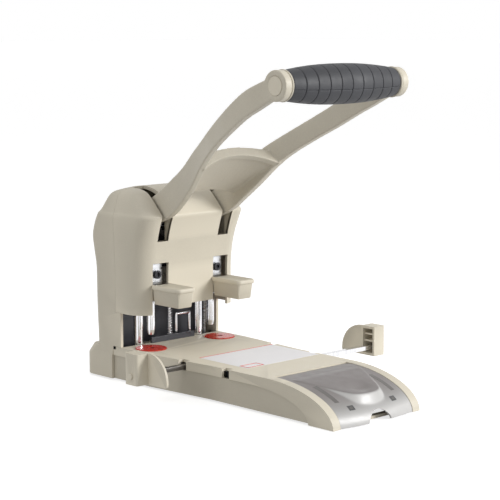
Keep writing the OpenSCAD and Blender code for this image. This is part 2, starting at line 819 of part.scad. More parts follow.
module cam(s) {
    x0 = s > 0 ? cam_x : -cam_x - cam_t;
    color(dark_steel) difference() {
        union() {
            along_x(x0, x0 + cam_t) translate([pivot_y, pivot_z]) cam_outline();
            rod_x(s > 0 ? cam_x : -arm_in, s > 0 ? arm_in : -cam_x, pivot_y, pivot_z, 2 * hub_r - 4);
        }
        rod_x(-big / 2, big / 2, pivot_y, pivot_z, shaft_d);
    }
}

module cam_left() { cam(-1); }
module cam_right() { cam(1); }

module pivot_shaft() {
    color(steel) rod_x(-plate_out - 2.5, plate_out + 2.5, pivot_y, pivot_z, shaft_d);
}

module shaft_spacer() {
    color(steel) difference() {
        rod_x(-cam_x, cam_x, pivot_y, pivot_z, shaft_d + 6);
        rod_x(-cam_x - 1, cam_x + 1, pivot_y, pivot_z, shaft_d);
    }
}

module shaft_collars() {
    color(steel) sides() difference() {
        rod_x(arm_out, plate_in - bush_flange - gap, pivot_y, pivot_z, shaft_d + 8);
        rod_x(arm_out - 1, plate_in, pivot_y, pivot_z, shaft_d);
    }
}

module retaining_rings() {
    color(dark_steel) sides() difference() {
        rod_x(plate_out + gap, plate_out + gap + 1.4, pivot_y, pivot_z, shaft_d + 7);
        rod_x(plate_out, plate_out + 3, pivot_y, pivot_z, shaft_d);
    }
}

module grip_rod() {
    color(steel) rod_x(cap_l - boss_out, boss_out - cap_l, -grip_reach, grip_z, grip_rod_d);
}

// Barrel grip with moulded ring grooves
groove_n = 10;
groove_w = 1.1;
groove_d = 0.8;
function grip_r(x) = lerp(grip_d, grip_end_d, abs(2 * x / grip_l) ^ 2.2) / 2;
function groove_x(i) = grip_l * (i / groove_n - 0.5);

module grip() {
    outline = concat([[grip_rod_d / 2, -grip_l / 2], [grip_end_d / 2 - 1, -grip_l / 2],
        [grip_r(grip_l / 2 - 1), 1 - grip_l / 2]],
        [for (i = [1:groove_n - 1]) each [
            [grip_r(groove_x(i - 0.5)), groove_x(i - 0.5)],
            [grip_r(groove_x(i) - groove_w), groove_x(i) - groove_w],
            [grip_r(groove_x(i)) - groove_d, groove_x(i)],
            [grip_r(groove_x(i) + groove_w), groove_x(i) + groove_w]]],
        [[grip_r(groove_x(groove_n - 0.5)), groove_x(groove_n - 0.5)],
            [grip_r(grip_l / 2 - 1), grip_l / 2 - 1], [grip_end_d / 2 - 1, grip_l / 2],
            [grip_rod_d / 2, grip_l / 2]]);
    color(rubber_grey) translate([0, -grip_reach, grip_z]) rotate([0, 90, 0])
        rotate_extrude() polygon(outline);
}

// Ring between the rubber and an arm's boss
module grip_collar() {
    r = boss_d / 2 + 0.5;
    color(beige) translate([grip_l / 2, -grip_reach, grip_z]) rotate([0, 90, 0]) rotate_extrude()
        polygon([[grip_rod_d / 2, 0], [r - 0.8, 0], [r, 0.8], [r, collar_l - 0.8], [r - 0.8, collar_l],
            [grip_rod_d / 2, collar_l]]);
}

module grip_collar_left() { mirror([1, 0, 0]) grip_collar(); }
module grip_collar_right() { grip_collar(); }

// Plug that closes the boss over the end of the rod
module grip_cap() {
    color(beige) rod_x(boss_out - cap_l, boss_out, -grip_reach, grip_z, cap_d);
}

module grip_cap_left() { mirror([1, 0, 0]) grip_cap(); }
module grip_cap_right() { grip_cap(); }

// Paper guides
module guide_rails() {
    color(dark_steel) for (y = [left_bar_y, right_bar_y]) difference() {
        block(-rail_half_l, rail_half_l, y - bar_w / 2 - 4, y + bar_w / 2 + 4,
            bar_z - bar_h / 2 - 3, deck_under);
        block(-big / 2, big / 2, y - bar_w / 2 - gap, y + bar_w / 2 + gap, bar_z - bar_h / 2 - gap, deck_z);
    }
}

module guide_bar(y, x0) {
    color(steel) block(x0, x0 + bar_l, y - bar_w / 2, y + bar_w / 2, bar_z - bar_h / 2, bar_z + bar_h / 2);
}

module guide_bar_left() { guide_bar(left_bar_y, -left_stop_x - block_t + stop_wall); }
module guide_bar_right() { guide_bar(right_bar_y, right_stop_x + block_t - stop_wall - bar_l); }

// Right-hand stop with its face at x = 0 and its bar at y = 0
module guide_stop() {
    y1 = stop_l - block_l / 2;
    outline = concat([[-block_l / 2, stop_z], [y1 - 3, stop_z]], arc([y1 - 3, stop_z + 3], 3, -90, 0, 4),
        [for (a = [0:10:90]) [y1 - stop_corner * (1 - cos(a)), stop_z + stop_h - stop_corner * (1 - sin(a))]],
        [[-block_l / 2, stop_z + stop_h]]);
    color(beige) difference() {
        union() {
            along_x(0, stop_wall) polygon(outline);
            linear_z(stop_z, stop_z + stop_h)
                polygon(round_box(0, -block_l / 2, block_t, block_l / 2, 2.5, 2.5, 4));
        }
        difference() {
            block(-1, block_t - stop_wall, stop_wall - block_l / 2, block_l / 2 - stop_wall,
                stop_z + stop_wall, stop_z + stop_h - stop_wall);
            for (z = [stop_z + 14, stop_z + 21]) block(2.5, block_t, -block_l / 2, block_l / 2, z, z + 1.4);
        }
        rod_x(block_t - stop_wall - 1, block_t + 1, 0, bar_z, 3.2);
    }
}

module linear_z(z0, z1) {
    translate([0, 0, z0]) linear_extrude(z1 - z0) children();
}

module guide_stop_left() { translate([-left_stop_x, left_bar_y, 0]) rotate(180) guide_stop(); }
module guide_stop_right() { translate([right_stop_x, right_bar_y, 0]) guide_stop(); }

module guide_screw() {
    color(dark_steel) {
        rod_x(block_t, block_t + 1.4, 0, bar_z, 6);
        rod_x(block_t - stop_wall, block_t + eps, 0, bar_z, 3.2);
    }
}

module guide_screw_left() { translate([-left_stop_x, left_bar_y, 0]) rotate(180) guide_screw(); }
module guide_screw_right() { translate([right_stop_x, right_bar_y, 0]) guide_screw(); }

// Storage compartment
module storage_tray() {
    y0 = -252;
    y1 = hinge_y - 3;
    w = lid_half_w - lid_lip - 0.7;
    z0 = shell_floor;
    color(beige_dark) intersection() {
        difference() {
            block(-w, w, y0, y1, z0, deck_z);
            block(-w + 2, w - 2, y0 + 2, y1 - 2, z0 + 2, deck_z + 1);
        }
        along_x(-big / 2, big / 2) deck_profile(lid_t + 1.2);
        block(-big / 2, big / 2, y0, y1, 0, deck_under - 5.5);
    }
}

// Raised platform of the lid: a wedge in plan with a round nose, under a slanting plane
module dome(grow, drop) {
    w = dome_half_w + grow;
    r = dome_r + grow;
    tilt = atan2(w - r, dome_rear - dome_y);
    intersection() {
        linear_z(4, deck_z) {
            translate([0, dome_y]) circle(r);
            polygon([[-w, dome_rear + grow], [w, dome_rear + grow], [r * cos(tilt), dome_y - r * sin(tilt)],
                [-r * cos(tilt), dome_y - r * sin(tilt)]]);
        }
        translate([0, dome_rear, dome_top - drop]) rotate([atan(dome_slope), 0, 0])
            translate([-big / 2, -big / 2, -big]) cube([big, big, big]);
    }
}

module lid_shell(drop) {
    intersection() {
        along_x(-lid_half_w, lid_half_w) deck_profile(drop);
        block(-lid_half_w, lid_half_w, -base_front, hinge_y, 1.2, deck_z);
    }
}

module storage_lid() {
    color(smoke) difference() {
        union() {
            lid_shell(0);
            intersection() {
                dome(0, 0);
                block(-lid_half_w, lid_half_w, -base_front, hinge_y, 5, deck_z);
            }
            rod_x(-lid_half_w, lid_half_w, hinge_y, hinge_z, 2 * hinge_r);
            rod_x(-rail_in - 2.5, rail_in + 2.5, hinge_y, hinge_z, hinge_pin_d);
        }
        difference() {
            union() {
                intersection() {
                    union() {
                        along_x(-lid_half_w + lid_lip, lid_half_w - lid_lip) deck_profile(lid_t);
                        along_x(-big / 2, big / 2) deck_profile(2 * lid_t);
                    }
                    block(-big / 2, big / 2, -base_front + 2.2, hinge_y + 5, 0, deck_z);
                }
                intersection() {
                    dome(-2.2, lid_t);
                    block(lid_lip - lid_half_w, lid_half_w - lid_lip, 2.2 - base_front, hinge_y - 7,
                        0, deck_z);
                }
            }
            rod_x(-lid_half_w, lid_half_w, hinge_y, hinge_z, 2 * hinge_r);
        }
        rod_y(-base_front - 5, -base_front + 30, 0, -5, 2 * notch_r);
    }
}

base_shell();
rubber_strips();
deck_cover();
bed_plate();
anvil_block();
frame_plate_left();
frame_plate_right();
frame_back();
frame_screws();
guide_columns();
column_brackets();
pivot_bushes();
front_cover();
rear_cover();
paper_stop();
stop_bracket();
spring_rod();
return_spring();
disc_spindles();
cutting_disc_left();
cutting_disc_right();
crosshead();
crosshead_bushes();
cam_pads();
punch_pin_left();
punch_pin_right();
clamp_plates();
clamp_screws();
knob_left();
knob_right();
lever_yoke();
cam_left();
cam_right();
pivot_shaft();
shaft_spacer();
shaft_collars();
retaining_rings();
grip_rod();
grip();
grip_collar_left();
grip_collar_right();
grip_cap_left();
grip_cap_right();
guide_rails();
guide_bar_left();
guide_stop_left();
guide_bar_right();
guide_stop_right();
guide_screw_left();
guide_screw_right();
storage_tray();
storage_lid();
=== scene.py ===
"""Looks of a heavy duty two-hole paper punch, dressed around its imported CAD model."""
import json
import math

import bmesh
import bpy
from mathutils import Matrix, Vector


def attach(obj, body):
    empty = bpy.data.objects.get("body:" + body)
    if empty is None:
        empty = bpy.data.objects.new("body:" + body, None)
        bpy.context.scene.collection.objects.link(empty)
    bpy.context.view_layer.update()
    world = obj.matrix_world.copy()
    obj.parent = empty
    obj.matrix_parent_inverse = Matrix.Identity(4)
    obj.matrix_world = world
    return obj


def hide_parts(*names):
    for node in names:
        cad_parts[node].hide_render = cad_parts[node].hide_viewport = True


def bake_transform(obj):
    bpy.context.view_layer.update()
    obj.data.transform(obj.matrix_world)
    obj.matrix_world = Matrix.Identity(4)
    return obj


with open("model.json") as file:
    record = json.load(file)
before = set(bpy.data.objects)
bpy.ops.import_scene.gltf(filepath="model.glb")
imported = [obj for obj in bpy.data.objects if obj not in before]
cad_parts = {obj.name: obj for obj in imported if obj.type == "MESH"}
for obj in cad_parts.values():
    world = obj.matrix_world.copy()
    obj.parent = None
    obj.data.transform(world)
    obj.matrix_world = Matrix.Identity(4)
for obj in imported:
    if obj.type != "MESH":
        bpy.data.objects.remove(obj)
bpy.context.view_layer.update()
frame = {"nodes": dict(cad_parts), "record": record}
nodes = frame["nodes"]
body_of = {n: b for b, members in frame["record"]["behaviour"]["bodies"].items() for n in members}
slot_of = {p["node"]: p["material_slot"] for p in frame["record"]["subparts"]}
MM = 0.001


# Materials
class Shader:
    """A Principled material with short calls for its procedural parts."""

    def __init__(self, name, **sockets):
        self.material = bpy.data.materials.new(name)
        self.material.use_nodes = True
        self.tree = self.material.node_tree
        self.bsdf = self.tree.nodes["Principled BSDF"]
        coordinates = self.tree.nodes.new("ShaderNodeTexCoord")
        self.place = coordinates.outputs["Object"]
        self.facing = coordinates.outputs["Normal"]
        for socket, value in sockets.items():
            self.bsdf.inputs[socket.replace("_", " ")].default_value = value

    def node(self, kind, **settings):
        made = self.tree.nodes.new("ShaderNode" + kind)
        for key, value in settings.items():
            setattr(made, key, value)
        return made

    def link(self, start, end):
        self.tree.links.new(start, end)

    def noise(self, scale, detail=3.0, stretch=(1, 1, 1)):
        """Noise of about 1/scale metres, drawn out along the axes with a small stretch."""
        mapping = self.node("Mapping")
        mapping.inputs["Scale"].default_value = stretch
        self.link(self.place, mapping.inputs["Vector"])
        noise = self.node("TexNoise")
        noise.inputs["Scale"].default_value = scale
        noise.inputs["Detail"].default_value = detail
        self.link(mapping.outputs["Vector"], noise.inputs["Vector"])
        return noise.outputs["Fac"]

    def ramp(self, factor, stops):
        ramp = self.node("ValToRGB")
        elements = ramp.color_ramp.elements
        while len(elements) < len(stops):
            elements.new(0.5)
        for element, (at, colour) in zip(elements, stops):
            element.position = at
            element.color = (*colour, 1)
        self.link(factor, ramp.inputs["Fac"])
        return ramp.outputs["Color"]

    def mix(self, factor, a, b, blend="MIX"):
        mix = self.node("Mix", data_type="RGBA", blend_type=blend)
        for socket, value in ((mix.inputs["Factor"], factor), (mix.inputs["A"], a), (mix.inputs["B"], b)):
            if isinstance(value, bpy.types.NodeSocket):
                self.link(value, socket)
            else:
                socket.default_value = value if isinstance(value, float) else (*value, 1)
        return mix.outputs["Result"]

    def range(self, factor, low, high, start=0.3, end=0.7):
        spread = self.node("MapRange")
        for socket, value in zip(("From Min", "From Max", "To Min", "To Max"), (start, end, low, high)):
            spread.inputs[socket].default_value = value
        self.link(factor, spread.inputs["Value"])
        return spread.outputs["Result"]

    def bump(self, height, strength, depth):
        bump = self.node("Bump")
        bump.inputs["Strength"].default_value = strength
        bump.inputs["Distance"].default_value = depth
        self.link(height, bump.inputs["Height"])
        self.link(bump.outputs["Normal"], self.bsdf.inputs["Normal"])

    def edges(self, start=0.52, end=0.6):
        """How far a point is on an outer edge, for rubbed corners."""
        return self.range(self.node("NewGeometry").outputs["Pointiness"], 0.0, 1.0, start, end)

    def colour(self, socket):
        self.link(socket, self.bsdf.inputs["Base Color"])

    def roughness(self, socket):
        self.link(socket, self.bsdf.inputs["Roughness"])


def shade(colour, factor):
    return tuple(min(c * factor, 1.0) for c in colour)


def moulded(name, colour, rough=0.5, grain=1500.0):
    """Satin moulded plastic or paint: fine grain, soft cloudy tone and lighter rubbed edges."""
    s = Shader(name, IOR=1.45)
    cloud = s.ramp(s.noise(22.0, 4.0), [(0.3, shade(colour, 0.965)), (0.7, shade(colour, 1.03))])
    specks = s.ramp(s.noise(grain, 2.0), [(0.35, (0.94, 0.94, 0.94)), (0.65, (1, 1, 1))])
    tone = s.mix(1.0, cloud, specks, "MULTIPLY")
    s.colour(s.mix(s.edges(), tone, shade(colour, 1.14)))
    s.roughness(s.range(s.noise(60.0), rough - 0.05, rough + 0.06))
    s.bump(s.noise(grain, 2.0), 0.12, 0.0003)
    return s.material


def rubber(name, colour):
    s = Shader(name, IOR=1.42)
    s.colour(s.ramp(s.noise(45.0, 5.0), [(0.3, shade(colour, 0.85)), (0.7, shade(colour, 1.2))]))
    s.roughness(s.range(s.noise(90.0), 0.5, 0.64))
    s.bump(s.noise(1300.0, 2.0), 0.25, 0.0004)
    return s.material


def metal(name, colour, rough, stretch=(1, 1, 1), scale=400.0, depth=0.00005):
    """Bare metal with drawn-out scratches; stretch sets the direction they run in."""
    s = Shader(name, Metallic=1.0)
    scratch = s.noise(scale, 4.0, stretch)
    s.colour(s.ramp(scratch, [(0.3, shade(colour, 0.86)), (0.7, shade(colour, 1.06))]))
    s.roughness(s.range(scratch, rough * 0.75, rough * 1.35))
    s.bump(scratch, 0.12, depth)
    return s.material


def blackened(name, colour):
    s = Shader(name, Metallic=0.55, IOR=1.5)
    tone = s.ramp(s.noise(140.0, 4.0), [(0.3, shade(colour, 0.75)), (0.7, shade(colour, 1.25))])
    s.colour(s.mix(s.edges(), tone, shade(colour, 2.6)))
    s.roughness(s.range(s.noise(240.0), 0.3, 0.48))
    s.bump(s.noise(900.0), 0.1, 0.0002)
    return s.material


def tinted(name, colour, rough, transmission):
    """See-through tinted plastic with a faint moulding ripple."""
    s = Shader(name, Transmission_Weight=transmission, IOR=1.46)
    s.colour(s.ramp(s.noise(30.0, 3.0), [(0.3, shade(colour, 0.95)), (0.7, shade(colour, 1.05))]))
    s.roughness(s.range(s.noise(120.0), rough * 0.8, rough * 1.25))
    s.bump(s.noise(50.0, 2.0), 0.05, 0.0006)
    return s.material


def smoked_with_painted_light(name, dark, light):
    """Smoked lid: grey where it lies flat, a painted shade of the dark compartment under it, and milky
    where it turns to the front, a painted reflection of the white surroundings.
    """
    s = Shader(name, Transmission_Weight=0.12, IOR=1.46)
    # painted light: the tone follows which way the surface faces, dark for painted shade where it lies
    # flat and light for painted reflection where it turns to the front
    upright = s.node("SeparateXYZ")
    s.link(s.facing, upright.inputs["Vector"])
    flat = s.range(upright.outputs["Z"], 0.0, 1.0, 0.55, 0.97)
    tone = s.ramp(flat, [(0.0, light), (0.45, shade(light, 0.72)), (1.0, dark)])
    cloud = s.ramp(s.noise(28.0, 3.0), [(0.3, (0.93, 0.93, 0.93)), (0.7, (1, 1, 1))])
    s.colour(s.mix(1.0, tone, cloud, "MULTIPLY"))
    s.roughness(s.range(s.noise(120.0), 0.28, 0.4))
    s.bump(s.noise(50.0, 2.0), 0.05, 0.0006)
    return s.material


BEIGE = (0.60, 0.553, 0.452)
materials = {
    "body_plastic": moulded("beige_plastic", BEIGE),
    "panel_plastic": moulded("beige_panel", shade(BEIGE, 0.92)),
    "lever_paint": moulded("beige_paint", shade(BEIGE, 0.97), 0.42, 900.0),
    "grip_rubber": rubber("grip_rubber", (0.035, 0.036, 0.041)),
    "bright_steel": metal("bright_steel", (0.80, 0.80, 0.82), 0.12, (1, 1, 0.05)),
    "plate_steel": metal("plate_steel", (0.62, 0.63, 0.65), 0.27, (0.04, 1, 1)),
    "black_steel": blackened("black_steel", (0.022, 0.022, 0.025)),
    "bush_brass": metal("bush_brass", (0.72, 0.55, 0.28), 0.22, (1, 1, 0.1)),
    "red_plastic": tinted("red_plastic", (0.80, 0.055, 0.03), 0.22, 0.35),
    # the smoked lid's grey and milky tones are painted shade and painted reflection
    "smoked_plastic": smoked_with_painted_light("smoked_plastic", (0.19, 0.168, 0.162), (0.60, 0.59, 0.575)),
}

# Looks of details that have no slot of their own
extras = {
    # painted shade: steel darkened to stand for the shade that the left guide bar lies in
    "dark_steel": metal("dark_steel", (0.20, 0.19, 0.18), 0.34, (0.04, 1, 1)),
    "smoked_shade": moulded("smoked_shade", (0.12, 0.112, 0.105), 0.35),
    "smoked_dark": moulded("smoked_dark", (0.075, 0.075, 0.075), 0.35),
    "label_paper": moulded("label_paper", (0.70, 0.69, 0.70), 0.45, 700.0),
    "label_red": moulded("label_red", (0.62, 0.10, 0.08), 0.45, 700.0),
}

# Nodes that look unlike the rest of their slot; the left guide bar's darker steel is painted shade
LOOKS = {
    # painted shade: the left guide bar is the same steel as the right one, darkened for its shade
    "guide_bar_left": extras["dark_steel"],
    "guide_screw_left": materials["lever_paint"],
    "guide_screw_right": materials["lever_paint"],
}


# Pieces
def piece(name, mesh, node, material=None):
    """A finished mesh that belongs to a CAD node and rides on its body."""
    made = bpy.data.objects.new(name, mesh)
    bpy.context.scene.collection.objects.link(made)
    mesh.materials.clear()
    mesh.materials.append(material or materials[slot_of[node]])
    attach(made, body_of[node])
    return made


def smooth(mesh, angle=35):
    mesh.polygons.foreach_set("use_smooth", [True] * len(mesh.polygons))
    mesh.set_sharp_from_angle(angle=math.radians(angle))


def rounded(obj, width, segments=3, angle=35):
    bevel = obj.modifiers.new("rounded_edges", "BEVEL")
    bevel.width = width
    bevel.segments = segments
    bevel.limit_method = "ANGLE"
    bevel.angle_limit = math.radians(angle)
    bevel.harden_normals = True


def polish(node, width):
    """Copy of a CAD node with its flat facets joined and its edges rounded by width."""
    mesh = nodes[node].data.copy()
    bm = bmesh.new()
    bm.from_mesh(mesh)
    bmesh.ops.remove_doubles(bm, verts=bm.verts, dist=1e-6)
    bmesh.ops.dissolve_limit(bm, angle_limit=math.radians(0.5), verts=bm.verts, edges=bm.edges)
    bm.to_mesh(mesh)
    bm.free()
    smooth(mesh)
    made = piece(node + "_finish", mesh, node, LOOKS.get(node))
    rounded(made, width)
    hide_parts(node)
    return made


def bake(obj):
    """Settles an object's modifiers into its mesh."""
    mesh = bpy.data.meshes.new_from_object(obj.evaluated_get(bpy.context.evaluated_depsgraph_get()))
    obj.modifiers.clear()
    obj.data = mesh
    return mesh


def in_metres(points):
    return [tuple(c * MM for c in p) for p in points]


def solid(points, faces):
    """A loose object from points in millimetres."""
    mesh = bpy.data.meshes.new("solid")
    mesh.from_pydata(in_metres(points), [], faces)
    made = bpy.data.objects.new("solid", mesh)
    bpy.context.scene.collection.objects.link(made)
    return made


def loft(rings):
    """Closed skin through rings of points that turn anticlockwise seen from the last ring."""
    n = len(rings[0])
    faces = [tuple(reversed(range(n))), tuple((len(rings) - 1) * n + i for i in range(n))]
    for j in range(len(rings) - 1):
        for i in range(n):
            k = (i + 1) % n
            faces.append((j * n + i, j * n + k, (j + 1) * n + k, (j + 1) * n + i))
    return solid([p for ring in rings for p in ring], faces)


def block(x0, x1, y0, y1, z0, z1):
    return loft([[(x0, y0, z), (x1, y0, z), (x1, y1, z), (x0, y1, z)] for z in (z0, z1)])


def rod(start, end, radius, count=64):
    """Cylinder between two points."""
    a, b = Vector(start), Vector(end)
    turn = (b - a).to_track_quat("Z", "Y")
    ring = [turn @ Vector((radius * math.cos(t), radius * math.sin(t), 0))
            for t in (2 * math.pi * i / count for i in range(count))]
    return loft([[tuple(c + p) for p in ring] for c in (a, b)])


def combine(obj, other, operation):
    """Boolean of two loose solids, the second of which is used up."""
    step = obj.modifiers.new("combine", "BOOLEAN")
    step.object = other
    step.operation = operation
    step.solver = "EXACT"
    bake(obj)
    bpy.data.objects.remove(other)
    return obj


def cut(obj, *others):
    for other in others:
        combine(obj, other, "DIFFERENCE")
    return obj


def settle(name, obj, node, material=None, angle=35):
    """Turns a loose solid into a named piece."""
    mesh = obj.data
    bpy.data.objects.remove(obj)
    smooth(mesh, angle)
    return piece(name, mesh, node, material)


def stand_for(node, obj, angle=35):
    """Turns a loose solid into the finished piece that stands for a CAD node."""
    made = settle(node + "_finish", obj, node, angle=angle)
    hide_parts(node)
    return made


for name, obj in nodes.items():
    obj.data.materials.clear()
    obj.data.materials.append(LOOKS.get(name, materials[slot_of[name]]))
    smooth(obj.data)

# Rounding of the edges, in millimetres
EDGES = {
    "deck_cover": 0.5, "base_shell": 0.5, "grip_collar_left": 0.4, "grip_collar_right": 0.4,
    "guide_stop_left": 0.6, "guide_stop_right": 0.6, "paper_stop": 0.4, "clamp_plates": 0.4,
    "clamp_screws": 0.3, "cutting_disc_left": 0.5, "cutting_disc_right": 0.5, "guide_bar_left": 0.4,
    "guide_bar_right": 0.4, "crosshead": 0.5, "storage_tray": 0.5, "rubber_strips": 0.5,
}
for name, width in EDGES.items():
    polish(name, width * MM)


# Tower covers; all lengths from here on are in millimetres
TOWER_W = 66
# Height, front, rear, half width, front corner radius and rear corner radius of each station
TOWER = [
    (-1, -15.5, 61, TOWER_W, 20, 15),
    (33, -15.5, 61, TOWER_W, 20, 15),
    (77, -15.5, 63, TOWER_W, 20, 15),
    (112, -15.8, 63.5, TOWER_W, 20, 15),
    (130, -17.2, 66, TOWER_W + 0.6, 20, 15),
    (144, -19.6, 67.6, TOWER_W + 1.2, 19, 15),
    (157, -23.2, 62.6, TOWER_W + 1.8, 17, 13),
    (165, -26, 57.4, TOWER_W + 2, 16, 11),
    (167.6, -27, 55.6, TOWER_W + 1.8, 16, 10.5),
    (168.8, -27.2, 54.7, TOWER_W + 1.5, 16, 10),
    (169.8, -27, 53.8, TOWER_W + 1.1, 16, 10),
    (170.7, -26.4, 53.1, TOWER_W + 0.5, 16, 10),
    (172, -25.2, 52.1, TOWER_W - 0.1, 16, 10),
    (180, -17.6, 46.8, TOWER_W - 2.3, 15, 9),
    (187, -10.3, 42.4, TOWER_W - 4.8, 13, 8),
    (190.5, -5.8, 39, TOWER_W - 7.6, 11, 8),
    (193.2, 0.5, 32, TOWER_W - 13, 9, 8),
    (195, 8, 26, TOWER_W - 20, 6, 6),
    (195.7, 12, 23, TOWER_W - 23, 4, 4),
]
WALL = 3
SEAM_Y = 24
SEAM = 0.2
JAW_Y = 16
THROAT = 70
MOUTH_RISE = 7
PIN_X = 40
DECK_Z = 35
SLOT_HALF = 7
SLOT_Z = 143.5
SLOT_REAR = 18
SLOT_WALL = 2
SLOT_WALL_REAR = -14
SLOT_WALL_TOP = 190
WINDOW_HALF = 10
WINDOW_TOP = 121.5
FOOT_HALF = 68
FOOT_FRONT = 28.2
FOOT_REAR = 74.3
FOOT_TOP = 33
FOOT_R = 14
# Height of each level of the rear foot and how far its rear is tucked in there
FOOT_LEVELS = ((2, 0), (FOOT_TOP - 9, 0), (FOOT_TOP, 6))
ROOM_HALF = 65.1
ROOM_REAR = 70.3
ROOM_TOP = 26.3
ROOM_R = 11
# Cutters reach this far, past every face of the tower
PAST_SIDE, PAST_FRONT, PAST_REAR, PAST_TOP, PAST_FLOOR = 90, -60, 90, 220, -5


def between(rows, steps):
    """Rows in steps to a span, on curves over the first column that never swing past a row."""
    columns = range(1, len(rows[0]))
    tangents = {}
    for k in columns:
        rise = [(q[k] - p[k]) / (q[0] - p[0]) for p, q in zip(rows, rows[1:])]
        inner = [2 * p * q / (p + q) if p * q > 0 else 0 for p, q in zip(rise, rise[1:])]
        tangents[k] = [rise[0]] + inner + [rise[-1]]
    made = []
    for i, (low, high) in enumerate(zip(rows, rows[1:])):
        span = high[0] - low[0]
        for t in (j / steps for j in range(steps)):
            row = [low[0] + span * t]
            for k in columns:
                start, end = tangents[k][i], tangents[k][i + 1]
                row.append((1 + 2 * t) * (1 - t) ** 2 * low[k] + t * (1 - t) ** 2 * span * start
                           + t * t * (3 - 2 * t) * high[k] + t * t * (t - 1) * span * end)
            made.append(tuple(row))
    return made + [rows[-1]]


def round_box(x0, y0, x1, y1, front_r, rear_r, count):
    """Rounded rectangle, anticlockwise from its front right corner."""
    corners = ((x1 - front_r, y0 + front_r, front_r, -90), (x1 - rear_r, y1 - rear_r, rear_r, 0),
               (x0 + rear_r, y1 - rear_r, rear_r, 90), (x0 + front_r, y0 + front_r, front_r, 180))
    ring = []
    for x, y, r, start in corners:
        for i in range(count + 1):
            turn = math.radians(start + 90 * i / count)
            ring.append((x + r * math.cos(turn), y + r * math.sin(turn)))
    return ring


def tower_skin(inset):
    """The tower's outside, or a skin inset from it by a wall; the inset also comes off its top."""
    shoulder, blend, least_r = 163, 14, 2
    rings = []
    for z, front, rear, half, front_r, rear_r in between(TOWER, 3):
        ring = round_box(inset - half, front + inset, half - inset, rear - inset,
                         max(front_r - inset, least_r), max(rear_r - inset, least_r), 10)
        drop = inset * min(max((z - shoulder) / blend, 0), 1)
        rings.append([(x, y, z - drop) for x, y in ring])
    return loft(rings)


def ahead_of(y, low, high):
    """Cutter for all that is in front of y between two heights."""
    return block(-PAST_SIDE, PAST_SIDE, PAST_FRONT, y, low, high)


def make_front_cover():
    cover = combine(tower_skin(0), ahead_of(SEAM_Y, THROAT, PAST_TOP), "INTERSECT")
    cut(cover, tower_skin(WALL), block(-PIN_X, PIN_X, PAST_FRONT, 0, THROAT - 1, THROAT + MOUTH_RISE))
    for x in (-PIN_X, PIN_X):
        cut(cover, block(x - SLOT_HALF, x + SLOT_HALF, PAST_FRONT, SLOT_REAR, SLOT_Z, PAST_TOP),
            block(x - WINDOW_HALF, x + WINDOW_HALF, PAST_FRONT, 0, THROAT - 1, WINDOW_TOP))
    return stand_for("front_cover", cover)


def make_rear_cover():
    rings = []
    for z, tuck in FOOT_LEVELS:
        half = FOOT_HALF - tuck / 3
        ring = round_box(-half, FOOT_FRONT, half, FOOT_REAR - tuck, 0.5, FOOT_R, 12)
        rings.append([(x, y, z) for x, y in ring])
    foot = loft(rings)
    cover = cut(tower_skin(0), ahead_of(SEAM_Y + SEAM, THROAT - SEAM, PAST_TOP),
                ahead_of(JAW_Y, PAST_FLOOR, THROAT), ahead_of(PAST_REAR, PAST_FLOOR, FOOT_TOP - 1),
                ahead_of(SEAM_Y + SEAM, PAST_FLOOR, DECK_Z + SEAM))
    combine(cover, foot, "UNION")
    ring = round_box(-ROOM_HALF, 0, ROOM_HALF, ROOM_REAR, 0.5, ROOM_R, 12)
    room = loft([[(x, y, z) for x, y in ring] for z in (PAST_FLOOR, ROOM_TOP)])
    cut(cover, tower_skin(WALL), room)
    return stand_for("rear_cover", cover)


def make_slot_walls():
    """Side walls of the lever slots, which reach into the tower behind its front."""
    outer = SLOT_HALF + SLOT_WALL
    for side, x in (("left", -PIN_X), ("right", PIN_X)):
        wall = block(x - outer, x + outer, PAST_FRONT, SLOT_WALL_REAR, SLOT_Z - SLOT_WALL, SLOT_WALL_TOP)
        combine(wall, tower_skin(1), "INTERSECT")
        cut(wall, block(x - SLOT_HALF, x + SLOT_HALF, PAST_FRONT - 1, 0, SLOT_Z, PAST_TOP))
        settle("slot_walls_" + side, wall, "front_cover")


make_front_cover()
make_rear_cover()
make_slot_walls()


# Lever yoke: one casting, its corners and joins softened
def make_yoke(voxel, rounds):
    mesh = nodes["lever_yoke"].data.copy()
    made = piece("lever_yoke_finish", mesh, "lever_yoke")
    skin = made.modifiers.new("skin", "REMESH")
    skin.mode = "VOXEL"
    skin.voxel_size = voxel
    skin.use_smooth_shade = True
    soften = made.modifiers.new("soften", "SMOOTH")
    soften.factor = 0.5
    soften.iterations = rounds
    bake(made)
    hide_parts("lever_yoke")


make_yoke(0.8 * MM, 5)


# Rubber grip: a barrel with ring grooves and a moulding seam along the front and the rear
GRIP_Y, GRIP_Z = -219, 303
GRIP_L, GRIP_D, GRIP_END_D = 140, 37, 27
GRIP_BULGE = 2.2
RIBS = 10
GROOVE_DEPTH, GROOVE_W = 0.75, 0.42
SEAM_TURNS = (195.0, 15.0)
SEAM_DEPTH, SEAM_SPREAD = 0.55, 0.9
END_ROUND, END_TURN = 0.9, 1.1


def nearest(value, places):
    return min(abs(value - place) for place in places)


def grip_stations(grooves):
    """Places along the grip, close together at the grooves and the ends."""
    spans = 60
    places = {GRIP_L * (i / spans - 0.5) for i in range(1, spans)}
    places = {x for x in places if nearest(x, grooves) > 1.2}
    places |= {g + d for g in grooves for d in (-1, -0.7, -0.45, -0.2, 0, 0.2, 0.45, 0.7, 1)}
    places |= {s * (GRIP_L / 2 - d) for s in (-1, 1) for d in (0.25, 0.8, 1.5)}
    return sorted(places)


def grip_turns():
    """Angles around the grip, close together at the seams."""
    turns = {6.0 * i for i in range(60)}
    turns = {a for a in turns if nearest(a, SEAM_TURNS) > 3.5}
    turns |= {seam + d for seam in SEAM_TURNS for d in (-3, -1.6, -1, -0.5, 0, 0.5, 1, 1.6, 3)}
    return sorted(turns)


